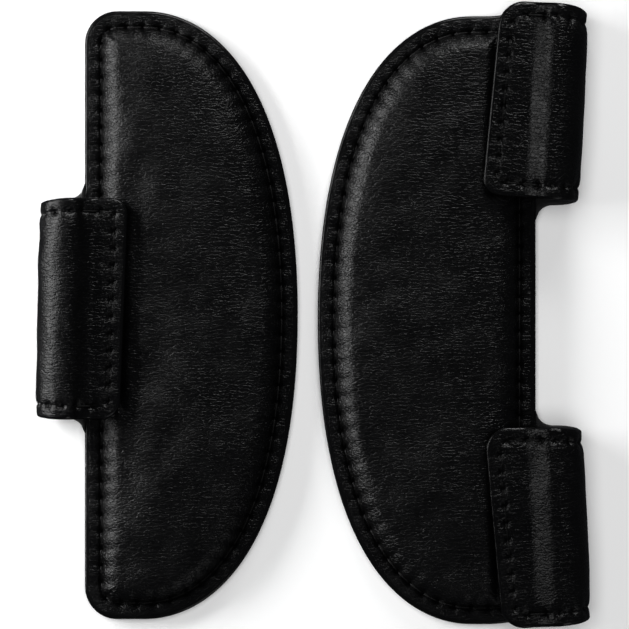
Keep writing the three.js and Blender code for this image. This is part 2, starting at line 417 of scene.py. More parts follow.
def node(nodes, kind, values=(), **settings):
    made = nodes.new(kind)
    for key, value in settings.items():
        setattr(made, key, value)
    for key, value in dict(values).items():
        made.inputs[key].default_value = value
    return made


def math_node(nodes, links, operation, a, b):
    made = nodes.new("ShaderNodeMath")
    made.operation = operation
    for socket, value in zip(made.inputs, (a, b)):
        if isinstance(value, (int, float)):
            socket.default_value = value
        else:
            links.new(value, socket)
    return made.outputs[0]


def leather(name, dark, pale, roughness, grain=1.0, height=0.06, creases=0.075):
    """Black leather: pebbled grain cells, longer fine creases across them, and rubbed edges."""
    material, nodes, links = shader(name)
    principled = nodes["Principled BSDF"]
    principled.inputs["Specular IOR Level"].default_value = 0.42
    flat = node(nodes, "ShaderNodeAttribute", attribute_name="flat")
    scale = node(nodes, "ShaderNodeVectorMath", operation="SCALE")
    links.new(flat.outputs["Vector"], scale.inputs[0])
    scale.inputs["Scale"].default_value = 1000.0
    vector = scale.outputs[0]

    wobble = node(nodes, "ShaderNodeTexNoise", {"Scale": 0.9, "Detail": 3.0})
    links.new(vector, wobble.inputs["Vector"])
    shift = node(nodes, "ShaderNodeVectorMath", operation="MULTIPLY_ADD")
    links.new(wobble.outputs["Color"], shift.inputs[0])
    shift.inputs[1].default_value = (0.9, 0.9, 0.9)
    links.new(vector, shift.inputs[2])

    cells = node(
        nodes,
        "ShaderNodeTexVoronoi",
        {"Scale": 1.15 * grain, "Randomness": 1.0},
        feature="DISTANCE_TO_EDGE",
    )
    links.new(shift.outputs[0], cells.inputs["Vector"])
    pebble = node(nodes, "ShaderNodeMapRange", {"From Max": 0.34})
    pebble.interpolation_type = "SMOOTHSTEP"
    links.new(cells.outputs["Distance"], pebble.inputs["Value"])

    stretch = node(nodes, "ShaderNodeMapping", {"Scale": (0.32, 1.25, 1.0), "Rotation": (0, 0, 0.3)})
    links.new(shift.outputs[0], stretch.inputs["Vector"])
    lines = node(
        nodes,
        "ShaderNodeTexVoronoi",
        {"Scale": 0.85 * grain, "Randomness": 1.0},
        feature="DISTANCE_TO_EDGE",
    )
    links.new(stretch.outputs[0], lines.inputs["Vector"])
    crease = node(nodes, "ShaderNodeMapRange", {"From Max": 0.2})
    crease.interpolation_type = "SMOOTHSTEP"
    links.new(lines.outputs["Distance"], crease.inputs["Value"])

    fine = node(nodes, "ShaderNodeTexNoise", {"Scale": 4.5, "Detail": 3.0})
    links.new(vector, fine.inputs["Vector"])
    patchy = node(nodes, "ShaderNodeTexNoise", {"Scale": 0.11, "Detail": 3.0})
    links.new(vector, patchy.inputs["Vector"])

    # grain depth changes from place to place, as on a real hide
    depth = node(nodes, "ShaderNodeMapRange", {"From Min": 0.3, "From Max": 0.7, "To Min": 0.45})
    links.new(patchy.outputs["Fac"], depth.inputs["Value"])
    cell_height = math_node(nodes, links, "MULTIPLY", pebble.outputs[0], depth.outputs[0])
    cell_height = math_node(nodes, links, "MULTIPLY", cell_height, height)
    crease_height = math_node(nodes, links, "MULTIPLY", crease.outputs[0], creases)
    fine_height = math_node(nodes, links, "MULTIPLY", fine.outputs["Fac"], 0.02)
    total = math_node(nodes, links, "ADD", cell_height, crease_height)
    total = math_node(nodes, links, "ADD", total, fine_height)
    edge = node(nodes, "ShaderNodeAttribute", attribute_name="edge")
    grainy = math_node(nodes, links, "SUBTRACT", 1.0, edge.outputs["Fac"])
    total = math_node(nodes, links, "MULTIPLY", total, grainy)

    bump = node(nodes, "ShaderNodeBump", {"Strength": 1.0, "Distance": MM})
    links.new(total, bump.inputs["Height"])
    links.new(bump.outputs["Normal"], principled.inputs["Normal"])

    tone = node(nodes, "ShaderNodeMix", data_type="RGBA")
    tone.inputs["A"].default_value = (*dark, 1)
    tone.inputs["B"].default_value = (*pale, 1)
    lift = math_node(nodes, links, "MULTIPLY", patchy.outputs["Fac"], pebble.outputs[0])
    worn = math_node(nodes, links, "MULTIPLY", edge.outputs["Fac"], 0.8)
    links.new(math_node(nodes, links, "ADD", lift, worn), tone.inputs["Factor"])
    links.new(tone.outputs["Result"], principled.inputs["Base Color"])

    gloss = node(
        nodes,
        "ShaderNodeMapRange",
        {"From Min": 0.3, "From Max": 0.7, "To Min": roughness - 0.05, "To Max": roughness + 0.08},
    )
    links.new(patchy.outputs["Fac"], gloss.inputs["Value"])
    polish = math_node(nodes, links, "MULTIPLY", edge.outputs["Fac"], 0.14)
    rough = math_node(nodes, links, "SUBTRACT", gloss.outputs[0], polish)
    links.new(rough, principled.inputs["Roughness"])
    return material


def fibre(name, dark, pale, roughness, scale, height):
    """Thread, hook-and-loop tape and foam: a fine irregular relief with a little change of tone."""
    material, nodes, links = shader(name)
    principled = nodes["Principled BSDF"]
    principled.inputs["Specular IOR Level"].default_value = 0.35
    principled.inputs["Roughness"].default_value = roughness
    place_in = node(nodes, "ShaderNodeTexCoord")
    noise = node(nodes, "ShaderNodeTexNoise", {"Scale": scale, "Detail": 4.0, "Roughness": 0.6})
    links.new(place_in.outputs["Object"], noise.inputs["Vector"])
    cells = node(nodes, "ShaderNodeTexVoronoi", {"Scale": scale * 0.8})
    links.new(place_in.outputs["Object"], cells.inputs["Vector"])
    total = math_node(nodes, links, "ADD", noise.outputs["Fac"], cells.outputs["Distance"])
    bump = node(nodes, "ShaderNodeBump", {"Strength": 0.8, "Distance": height * MM})
    links.new(total, bump.inputs["Height"])
    links.new(bump.outputs["Normal"], principled.inputs["Normal"])
    tone = node(nodes, "ShaderNodeMix", data_type="RGBA")
    tone.inputs["A"].default_value = (*dark, 1)
    tone.inputs["B"].default_value = (*pale, 1)
    links.new(noise.outputs["Fac"], tone.inputs["Factor"])
    links.new(tone.outputs["Result"], principled.inputs["Base Color"])
    return material


FRONT_LEATHER = leather("front_leather", (0.0006, 0.0006, 0.0007), (0.0015, 0.0015, 0.0016), 0.32)
BACK_LEATHER = leather("back_leather", (0.0006, 0.0006, 0.0007), (0.0017, 0.0017, 0.0019), 0.32, 0.95)
LINING_LEATHER = leather(
    "lining_leather", (0.006, 0.006, 0.006), (0.014, 0.014, 0.0145), 0.6, 1.5, 0.08, 0.04
)
THREAD_BLACK = fibre("thread_black", (0.001, 0.001, 0.001), (0.005, 0.005, 0.005), 0.7, 2600.0, 0.1)
TAPE_BLACK = fibre("tape_black", (0.004, 0.004, 0.004), (0.016, 0.016, 0.016), 0.85, 2200.0, 0.35)
FOAM_GREY = fibre("foam_grey", (0.03, 0.03, 0.032), (0.07, 0.07, 0.072), 0.95, 1500.0, 0.3)

# ---- the half-moon pads -----------------------------------------------------------------------


def half_moon(half, inset):
    """The pad's outline moved in by inset, as points in the same order whatever the inset."""
    spec = HALVES[half]
    width = spec["width"]
    curve_start = -width + CURVE_RUN
    low_y, low_r = spec["low"]
    high_y, high_r = spec["high"]
    low_r = max(low_r - inset, 0.4)
    high_r = max(high_r - inset, 0.4)

    def arc(cx, cy, radius, first, last, count):
        angle = np.linspace(first, last, count, endpoint=False)
        return np.stack([cx + radius * np.cos(angle), cy + radius * np.sin(angle)], 1)

    def end_edge(y, radius, count):
        # the pad's end runs level, then out to the tab's edge where a tab sits on the corner
        x = np.linspace(-inset - radius, curve_start, count, endpoint=False)
        sign = math.copysign(1.0, y)
        out = (abs(y) - PAD_HALF) * smooth(1 + x / 14)
        return np.stack([x, sign * (PAD_HALF - inset + out)], 1)

    t = np.linspace(0, 1, 190)[:, None]
    p = [
        np.array([curve_start, PAD_HALF]),
        np.array([curve_start - CURVE_END_HANDLE, PAD_HALF]),
        np.array([-width, CURVE_SIDE_HANDLE]),
        np.array([-width, 0.0]),
    ]
    curve = (1 - t) ** 3 * p[0] + 3 * (1 - t) ** 2 * t * p[1] + 3 * (1 - t) * t**2 * p[2] + t**3 * p[3]
    along = (1 - t) ** 2 * (p[1] - p[0]) + 2 * (1 - t) * t * (p[2] - p[1]) + t**2 * (p[3] - p[2])
    along /= np.linalg.norm(along, axis=1)[:, None]
    curve = curve + inset * np.stack([-along[:, 1], along[:, 0]], 1)
    mirrored = curve[::-1] * [1, -1]

    straight_y = np.linspace(low_y + inset + low_r, high_y - inset - high_r, 290, endpoint=False)
    straight = np.stack([np.full(290, -inset), straight_y], 1)
    return np.concatenate(
        [
            straight,
            arc(-inset - high_r, high_y - inset - high_r, high_r, 0, math.pi / 2, 22),
            end_edge(high_y, high_r, 24),
            curve[:-1],
            mirrored[:-1],
            end_edge(low_y, low_r, 24)[::-1],
            arc(-inset - low_r, low_y + inset + low_r, low_r, -math.pi / 2, 0, 22),
        ]
    )


def evened(half, inset, order):
    """half_moon resampled so that its points are evenly spaced along the seam."""
    ring = half_moon(half, inset)
    closed = np.concatenate([ring, ring[:1]])
    index = np.arange(len(closed))
    return np.stack([np.interp(order, index, closed[:, k]) for k in range(2)], 1)


def seam_order(half, count):
    """Places, as numbers along half_moon's points, that are evenly spaced on the seam."""
    ring = half_moon(half, SEAM_INSET)
    closed = np.concatenate([ring, ring[:1]])
    along = np.concatenate([[0.0], np.cumsum(np.linalg.norm(np.diff(closed, axis=0), axis=1))])
    order = np.interp(np.arange(count) * along[-1] / count, along, np.arange(len(closed)))
    return order, along[-1]


def tabs_of(half):
    return {name: tab for name, tab in TABS.items() if tab["half"] == half}


def pressed(half, x, y, height):
    """Lowers the puffed front where a closed flap presses on it."""
    for tab in tabs_of(half).values():
        over_x = np.maximum(-(x + tab["overlap"] - 1.2), 0)
        over_y = np.maximum(np.abs(y - tab["centre"]) - tab["width"] / 2 + 4.2, 0)
        allowed = SHELF + 1.1 * np.hypot(over_x, over_y)
        height = soft_min(height, allowed, 1.2)
    return height


def blown_up(half):
    order, _ = seam_order(half, COVER_POINTS)
    rim = evened(half, SEAM_INSET, order)
    points, faces = fill_inside(rim, COVER_SPACING)
    data = bpy.data.meshes.new("cover")
    data.from_pydata([(x * MM, y * MM, 0.0) for x, y in points], [], faces)
    cover = bpy.data.objects.new("cover", data)
    bpy.context.scene.collection.objects.link(cover)
    held = cover.vertex_groups.new(name="held")
    held.add(list(range(len(rim))), 1.0, "REPLACE")
    cloth = cover.modifiers.new("cloth", "CLOTH")
    settings = cloth.settings
    settings.quality = 6
    settings.mass = 0.3
    settings.tension_stiffness = 20
    settings.compression_stiffness = 20
    settings.shear_stiffness = 8
    settings.bending_stiffness = 1.0
    settings.vertex_group_mass = "held"
    settings.use_pressure = True
    settings.uniform_pressure_force = COVER_PRESSURE
    settings.effector_weights.gravity = 0.0
    cloth.point_cache.frame_start = 1
    cloth.point_cache.frame_end = LAST_FRAME
    smoother = cover.modifiers.new("smoother", "SUBSURF")
    smoother.levels = 2
    scene = bpy.context.scene
    for moment in range(1, LAST_FRAME + 1):
        scene.frame_set(moment)
    shaped = cover.evaluated_get(bpy.context.evaluated_depsgraph_get()).to_mesh()
    corners = [v.co / MM for v in shaped.vertices]
    sides = [tuple(face.vertices) for face in shaped.polygons]
    scene.frame_set(1)
    bpy.data.objects.remove(cover)
    top = max(abs(c.z) for c in corners)
    up = 1.0 if max(c.z for c in corners) == top else -1.0
    scaled = [Vector((c.x, c.y, up * c.z / top)) for c in corners]
    return BVHTree.FromPolygons(scaled, sides)


def fullness(half, x, y, distance):
    """How full the front is, from 0 at the seam to 1 at its fullest."""
    if "cover" not in HALVES[half]:
        HALVES[half]["cover"] = blown_up(half)
    cover = HALVES[half]["cover"]
    if cover is None:
        crown = np.clip((distance - SEAM_INSET - 0.1) / CROWN_RUN, 0, 1)
        return 1 - (1 - crown) ** 2
    down = Vector((0, 0, -1))
    hits = [cover.ray_cast(Vector((a, b, 5.0)), down)[0] for a, b in zip(x, y)]
    return np.array([hit.z if hit else 0.0 for hit in hits])


def crown_height(half, x, y, distance):
    """Height of the puffed front, a distance in from the pad's edge."""
    seed = HALVES[half]["seed"]
    inward = np.maximum(distance - SEAM_INSET - 0.1, 0)
    shoulder = np.clip(inward / SHOULDER_RUN, 0, 1)
    height = FLANGE_TOP + SHOULDER_RISE * (1 - (1 - shoulder) ** 2.4)
    height = height + CROWN_RISE * fullness(half, x, y, distance)
    inside = smooth((distance - 6) / 10)
    height = height + inside * (0.30 * waves(x, y, seed, 26.0) + 0.10 * waves(x, y, seed + 1, 9.0))
    height = height + inside * drag_lines(half, x, y)
    return pressed(half, x, y, height)


def drag_lines(half, x, y):
    """Shallow slanting wrinkles that run from the middle tab's lower corner on the left pad."""
    if half != "left":
        return 0.0
    cx, cy, angle = -25.0, 9.0, math.radians(-36)
    u = (x - cx) * math.cos(angle) + (y - cy) * math.sin(angle)
    v = -(x - cx) * math.sin(angle) + (y - cy) * math.cos(angle)
    bend = v + 0.8 * np.sin(u / 6.0)
    return 0.15 * np.sin(bend * math.tau / 4.2) * bell(u, 13.0) * bell(v, 12.0)


FLANGE_STEPS = [1.3, 1.7, 2.1, 2.5, 2.9, 3.3, 3.6, 3.9]
SEAM_STEPS = [4.15, 4.35, 4.55, 4.7, 4.8, 4.9, 5.05, 5.25, 5.45]
PUFF_STEPS = [5.7, 6.0, 6.35, 6.7, 7.1, 7.5, 8.0]


def top_rings(half, order):
    """Rings of x, y and distance from the edge, from the border to where the puff starts."""
    rings = []
    for inset in FLANGE_STEPS + SEAM_STEPS + PUFF_STEPS:
        ring = evened(half, inset, order)
        rings.append(np.column_stack([ring, np.full(len(ring), inset)]))
    return rings


def edge_distance(half, order, points):
    edge = evened(half, 0, order)
    distance, _ = nearest_on_path(points, np.concatenate([edge, edge[:1]])[::3])
    return distance


def round_edge(radius, top, steps=6):
    """Inset and height of a rounded rim, from its side up to its top."""
    angles = np.linspace(0, math.pi / 2, steps)
    return [(radius * (1 - math.cos(a)), top - radius * (1 - math.sin(a))) for a in angles]


def under_tab(half, y):
    """1 along the stretches of the straight edge where a tab grows out of it, else 0."""
    found = np.zeros(len(y))
    for tab in tabs_of(half).values():
        inside = tab["width"] / 2 + 3.0 - np.abs(y - tab["centre"])
        found = np.maximum(found, smooth(inside / 2.5))
    return found


def front_relief(half, distance, stitch, x, y):
    """Seam groove, holes and the leather gathered between them, on top of the crown."""
    uneven = 1 + 0.4 * waves(x, y, HALVES[half]["seed"] + 5, 14.0)
    relief = seam_relief(distance - SEAM_INSET, stitch, 0.26 * uneven, 0.6 * uneven)
    return relief * (1 - smooth((distance - 9) / 5))


def front_top(half, order, straight, stitch):
    """The outside of the front leather: rounded rim, flat border, stitched groove and crown."""
    count = len(order)
    joined = under_tab(half, straight[:, 1]) * (straight[:, 0] > -0.5)
    points = [np.column_stack([straight, np.full(count, FRONT_BASE + LAYER_GAP)])]
    marks = [np.ones(count)]
    for inset, height in round_edge(0.95, FLANGE_TOP):
        # no rounding where the leather runs on into a tab
        z = height + (FLANGE_TOP - height) * joined
        points.append(np.column_stack([evened(half, inset, order), z]))
        marks.append(np.full(count, 0.9))
    for ring in top_rings(half, order):
        x, y, distance = ring.T
        roll = 0.16 * np.sin(math.pi * np.clip(distance / SEAM_INSET, 0, 1))
        base = np.where(distance < SEAM_INSET, FLANGE_TOP + roll, crown_height(half, x, y, distance))
        z = base + front_relief(half, distance, stitch, x, y)
        points.append(np.column_stack([x, y, z]))
        marks.append(0.85 * (1 - smooth((distance - 0.9) / 0.8)))
    faces = grid_faces(len(points), count, closed=True)
    last = (len(points) - 1) * count
    filled, triangles = fill_inside(points[-1][:, :2], FILL_SPACING)
    middle = filled[count:]
    distance, along = nearest_on_path(middle, np.concatenate([straight, straight[:1]]))
    x, y = middle.T
    steps = np.linalg.norm(np.diff(straight, axis=0, append=straight[:1]), axis=1)
    index = np.interp(along, np.cumsum(steps) - steps, np.arange(count))
    z = crown_height(half, x, y, distance)
    z = z + front_relief(half, distance, np.interp(index, np.arange(count), stitch), x, y)
    points.append(np.column_stack([middle, z]))
    marks.append(np.zeros(len(middle)))
    faces += [tuple(last + i for i in face) for face in triangles]
    return np.concatenate(points), faces, marks


def front_inside(half, order, start):
    """The inside of the front leather, which the foam fills. start is its first point's number."""
    count = len(order)
    under = []
    for inset in (0.5, 5.4, 6.6, 8.0):
        ring = evened(half, inset, order)
        lift = 0.0 if inset < 5.5 else crown_height(half, *ring.T, inset) - FRONT_THICKNESS - FRONT_BASE
        z = np.broadcast_to(FRONT_BASE + LAYER_GAP + np.maximum(lift, 0), count)
        under.append(np.column_stack([ring, z]))
    filled, triangles = fill_inside(under[-1][:, :2], INSIDE_SPACING)
    middle = filled[count:]
    z = crown_height(half, *middle.T, edge_distance(half, order, middle)) - FRONT_THICKNESS
    last = start + (len(under) - 1) * count
    faces = grid_faces(len(under), count, start, closed=True, flip=True)
    faces += [tuple(last + i for i in face[::-1]) for face in triangles]
    return np.concatenate([*under, np.column_stack([middle, z])]), faces


def front_panel(half):
    """Puffed front leather, closed by its own inside face."""
    count = OUTLINE_POINTS
    order, seam_length = seam_order(half, count)
    stitch = np.arange(count) * round(seam_length / PITCH) / count
    straight = evened(half, 0, order)
    top, faces, marks = front_top(half, order, straight, stitch)
    start = len(top)
    inside, inside_faces = front_inside(half, order, start)
    faces += inside_faces
    for i in range(count):
        j = (i + 1) % count
        faces.append((j, i, start + i, start + j))
    points = np.concatenate([top, inside])
    marks = np.concatenate([*marks, np.zeros(len(inside))])
    panel = mesh_object(
        f"{half}_front_leather", place(half, points), faces, FRONT_LEATHER, points * MM, marks
    )
    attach(panel, f"{half}_pad")
    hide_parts(f"{half}_front_panel")


def foam_core(half):
    """Die-cut foam that fills the front, a leather's thickness under it."""
    count = FOAM_POINTS
    order, _ = seam_order(half, count)
    edge = evened(half, 6.6, order)
    points = [np.column_stack([edge, np.full(count, FRONT_BASE + 0.15)])]
    for inset in (6.6, 7.4, 8.4):
        ring = evened(half, inset, order)
        z = crown_height(half, *ring.T, inset) - FOAM_DROP
        points.append(np.column_stack([ring, np.maximum(z, FRONT_BASE + 0.3)]))
    faces = grid_faces(len(points), count, closed=True)
    faces.append(tuple(range(count))[::-1])
    last = (len(points) - 1) * count
    filled, triangles = fill_inside(points[-1][:, :2], FOAM_SPACING)
    middle = filled[count:]
    z = crown_height(half, *middle.T, edge_distance(half, order, middle)) - FOAM_DROP
    points.append(np.column_stack([middle, z]))
    faces += [tuple(last + i for i in face) for face in triangles]
    core = mesh_object(f"{half}_foam", place(half, np.concatenate(points)), faces, FOAM_GREY)
    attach(core, f"{half}_pad")
    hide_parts(f"{half}_foam_core")


def back_panel(half):
    """Flat back leather with rounded rim and the back of the stitched seam sunk in it."""
    count = OUTLINE_POINTS
    order, seam_length = seam_order(half, count)
    stitch = np.arange(count) * round(seam_length / PITCH) / count
    straight = evened(half, 0, order)
    joined = under_tab(half, straight[:, 1]) * (straight[:, 0] > -0.5)
    rings = [(3.0, LEATHER, False), (0.25, LEATHER, False), (0.0, LEATHER - 0.25, False)]
    for inset, height in round_edge(0.6, LEATHER):
        rings.append((inset, LEATHER - height, True))
    for inset in FLANGE_STEPS + SEAM_STEPS + PUFF_STEPS:
        rings.append((inset, 0.0, True))
    points = []
    marks = []
    for inset, height, below in rings:
        ring = evened(half, inset, order)
        z = np.full(count, height)
        if below and inset < 1:
            z = z * (1 - joined)
        if inset > 1.2 and below:
            z = -seam_relief(inset - SEAM_INSET, stitch, 0.0, 0.0, 0.3, 0.7)
        points.append(np.column_stack([ring, z]))
        marks.append(np.full(count, 0.85 * (1 - smooth((inset - 0.7) / 0.8))))
    rows = len(points)
    faces = grid_faces(rows, count, closed=True, flip=True)
    faces.append(tuple(range(count)))
    faces.append(tuple(range((rows - 1) * count, rows * count))[::-1])
    points = np.concatenate(points)
    marks = np.concatenate(marks)
    panel = mesh_object(
        f"{half}_back_leather", place(half, points), faces, BACK_LEATHER, points * MM, marks
    )
    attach(panel, f"{half}_pad")
    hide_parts(f"{half}_back_panel")


def perimeter_stitches(half):
    """The seam's thread on the front and on the back, one run between each two holes."""
    _, seam_length = seam_order(half, 100)
    order, _ = seam_order(half, round(seam_length / PITCH))
    ring = evened(half, SEAM_INSET, order)
    ring = np.concatenate([ring, ring[:1]])
    sides = (("front", FLANGE_TOP - 0.2, 1.0, 1.1, -0.34), ("back", 0.42, -1.0, 0.3, 0.0))
    for side, z, up, dip, crest in sides:
        holes = np.column_stack([ring, np.full(len(ring), z)])
        normals = np.tile([0.0, 0.0, up], (len(ring), 1))
        points, faces = stitches(holes, normals, THREAD, dip, crest)
        piece = mesh_object(f"{half}_{side}_stitches", place(half, points), faces, THREAD_BLACK)
        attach(piece, f"{half}_pad")
        if side == "front":
            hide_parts(f"{half}_seam_thread")


# ---- the tabs -----------------------------------------------------------------------------------


def tab_profile(tab):
    """The outer face's path round the loop: distance along it, x and height, and its inward side."""
    reach = tab["reach"]
    crest = reach - UPPER_BEND
    lower = np.linspace(-math.pi / 2, 0, BEND_POINTS)
    upper = np.linspace(0, math.pi / 2, BEND_POINTS)[1:]
    down = np.linspace(0, 1, BEND_POINTS)[1:]
    x = np.concatenate(
        [
            [-BEFORE_ROOT, 0.0],
            reach - LOWER_BEND + LOWER_BEND * np.cos(lower),
            crest + UPPER_BEND * np.cos(upper),
            crest + (DESCENT_END - crest) * down,
            [-tab["overlap"] - RUN_ON],
        ]
    )
    z = np.concatenate(
        [
            [0.0, 0.0],
            FOLD_HEIGHT * (1 + np.sin(lower)),
            FOLD_HEIGHT + (LOOP_HEIGHT - FOLD_HEIGHT) * np.sin(upper),
            LOOP_HEIGHT - (LOOP_HEIGHT - FLAP_TOP) * (1 - np.cos(math.pi * down)) / 2,
            [FLAP_TOP],
        ]
    )
    along = np.concatenate([[0.0], np.cumsum(np.hypot(np.diff(x), np.diff(z)))]) - BEFORE_ROOT
    fine = np.arange(-BEFORE_ROOT, along[-1], PATH_STEP)
    x = np.interp(fine, along, x)
    z = np.interp(fine, along, z)
    dx = np.gradient(x)
    dz = np.gradient(z)
    size = np.hypot(dx, dz)
    # the two straight places of the root come before the lower bend, which ends on the fold
    fold = along[1 + BEND_POINTS]
    free_end = fine[-1] - RUN_ON + PATH_STEP
    return {"s": fine, "x": x, "z": z, "nx": -dz / size, "nz": dx / size, "end": free_end, "fold": fold}


def wrap(tab, profile, u, v, depth):
    """A place on the flat strip, u out along it and v across, bent round the loop. depth is how far
    below the outer face it lies. The fold is tilted, so the flap comes back at twice the tilt."""
    tilt = math.radians(tab["tilt"])
    s = u * math.cos(tilt) - v * math.sin(tilt)
    t = u * math.sin(tilt) + v * math.cos(tilt)

    def at(key):
        return np.interp(s, profile["s"], profile[key])

    out = at("x") + depth * at("nx")
    x = t * math.sin(tilt) + out * math.cos(tilt)
    y = tab["centre"] + t * math.cos(tilt) - out * math.sin(tilt)
    return np.column_stack([x, y, at("z") + depth * at("nz")])


def levelling(tab, profile, u):
    """How far the flap's sides are cut askew, so that a tilted fold still brings them back level."""
    return math.tan(math.radians(2 * tab["tilt"])) * np.maximum(u - profile["fold"], 0)


def strip_sides(tab, profile, u, trim):
    """Lower and upper edge of the strip at each u, with root fillets, waist and rounded corners."""
    sides = []
    cuts = zip((-1, 1), tab["flare"], tab["corner"], tab["waist"], tab["levelled"])
    for sign, flare, corner, waist, level in cuts:
        half = tab["width"] / 2 - trim - waist * bell(u - profile["fold"], 8.0)
        if flare:
            near = np.clip(ROOT_FILLET - u, 0, ROOT_FILLET)
            half = half + ROOT_FILLET - np.sqrt(np.maximum(ROOT_FILLET**2 - near**2, 0))
        end = profile["end"] - trim
        radius = corner - trim
        past = np.clip(u - (end - radius), 0, radius)
        half = half - radius + np.sqrt(np.maximum(radius**2 - past**2, 0))
        sides.append(sign * half - level * levelling(tab, profile, u))
    return sides


EDGE_LINES = [0.0, 0.06, 0.18, 0.36, 0.62, 0.95]


def strip_grid(tab, profile, trim, fine):
    """Grid of u and v over the strip, and each place's distance in from its three free sides."""
    end = profile["end"] - trim
    tail = end - np.array(EDGE_LINES)[::-1]
    u_lines = np.concatenate([np.linspace(0.03, tail[0], round(tail[0] / fine))[:-1], tail])
    share = spread([e / tab["width"] for e in EDGE_LINES], fine / tab["width"], 1.0)
    low, high = strip_sides(tab, profile, u_lines, trim)
    u = np.repeat(u_lines, len(share))
    v = (low[:, None] + (high - low)[:, None] * share[None, :]).ravel()
    line = np.linspace(0, end, 240)
    low_line, high_line = strip_sides(tab, profile, line, trim)
    low_side = np.column_stack([line, low_line])
    high_side = np.column_stack([line, high_line])[::-1]
    free = np.column_stack([np.full(60, end), np.linspace(low_line[-1], high_line[-1], 60)])
    border = np.concatenate([low_side, free[1:-1], high_side])
    distance, _ = nearest_on_path(np.column_stack([u, v]), border)
    return u, v, distance, len(u_lines), len(share), border


def strip_seam(border, inset):
    """The stitch line inside the strip's three free sides."""
    along = np.gradient(border, axis=0)
    along /= np.maximum(np.linalg.norm(along, axis=1)[:, None], 1e-9)
    inner = border + inset * np.stack([-along[:, 1], along[:, 0]], 1)
    gap, _ = nearest_on_path(inner, border)
    inner = inner[gap > inset - 0.12]
    return at_spacing(inner, 0.4)


def rounding(distance, radius):
    near = np.clip(radius - distance, 0, radius)
    return radius - np.sqrt(np.maximum(radius**2 - near**2, 0))


def bend_with_tab(piece):
    """Bakes the strip's placement into its own mesh."""
    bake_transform(piece)


def outer_ply(name, tab, profile):
    """The tab's outer leather, wrapped over into the loop. Gives back its seam."""
    seed = HALVES[tab["half"]]["seed"] + len(name)
    u, v, distance, rows, columns, border = strip_grid(tab, profile, 0.0, 0.5)
    seam = strip_seam(border, FLAP_SEAM)
    gap, along = nearest_on_path(np.column_stack([u, v]), seam)
    total = np.linalg.norm(np.diff(seam, axis=0), axis=1).sum()
    stitch = along / total * round(total / PITCH)
    across = np.where(distance > FLAP_SEAM, gap, -gap)
    relief = seam_relief(across, stitch, 0.16, 0.3, 0.26, 0.85)
    body = 0.42 * smooth((across - 0.2) / 3.0)
    uneven = 0.16 * waves(u, v, seed, 15.0) * smooth(distance / 3) * smooth((u - 10) / 8)
    outward = (relief + body + uneven) * smooth((u - 3) / 4)
    # the leg lies flat, so nothing there stands below the back
    outward = np.where(u < profile["fold"] - 8, np.minimum(outward, 0), outward)
    outer = wrap(tab, profile, u, v, rounding(distance, 0.95) - outward)
    inner = wrap(tab, profile, u, v, LEATHER - rounding(distance, 0.2) * 0.5)
    pattern = np.column_stack([u + 90, v + tab["centre"], np.zeros(len(u))]) * MM
    marks = 0.9 * (1 - smooth((distance - 0.5) / 0.6))
    piece = mesh_object(
        f"{name}_outer_leather",
        place(tab["half"], np.concatenate([outer, inner])),
        sheet_faces(rows, columns),
        BACK_LEATHER,
        np.concatenate([pattern, pattern]),
        np.concatenate([marks, np.ones(len(u))]),
    )
    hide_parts(f"{name}_leather")
    bend_with_tab(piece)
    return seam


def lining_ply(name, tab, profile):
    """The tab's lining, a little smaller than the leather it lies in."""
    u, v, distance, rows, columns, _ = strip_grid(tab, profile, 0.12, 1.0)
    root = 0.4 * (1 - smooth(u / 4))
    upper = wrap(tab, profile, u, v, LEATHER + PLY_GAP + rounding(distance, 0.25))
    lower = wrap(tab, profile, u, v, LEATHER + PLY_GAP + LINING + root - rounding(distance, 0.4))
    pattern = np.column_stack([u, v, np.zeros(len(u))]) * MM
    marks = 0.9 * (1 - smooth((distance - 0.4) / 0.6))
    piece = mesh_object(
        f"{name}_inner_lining",
        place(tab["half"], np.concatenate([upper, lower])),
        sheet_faces(rows, columns),
        LINING_LEATHER,
        np.concatenate([pattern, pattern]),
        np.concatenate([np.ones(len(u)), marks]),
    )
    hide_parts(f"{name}_lining")
    bend_with_tab(piece)


def tab_stitches(name, tab, profile, seam):
    """The tab's thread, outside on the leather and inside on the lining."""
    holes = at_spacing(seam, PITCH)
    for side, depth in (("outer", 0.3), ("inner", LEATHER + PLY_GAP + LINING + 0.05)):
        sign = -1.0 if side == "outer" else 1.0
        base = wrap(tab, profile, holes[:, 0], holes[:, 1], depth)
        tip = wrap(tab, profile, holes[:, 0], holes[:, 1], depth + sign)
        dip, crest = (0.9, -0.22) if side == "outer" else (0.35, 0.0)
        radius = THREAD if side == "outer" else 0.28
        points, faces = stitches(base, tip - base, radius, dip, crest)
        piece = mesh_object(f"{name}_{side}_stitches", place(tab["half"], points), faces, THREAD_BLACK)
        if side == "outer":
            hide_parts(f"{name}_thread")
        bend_with_tab(piece)


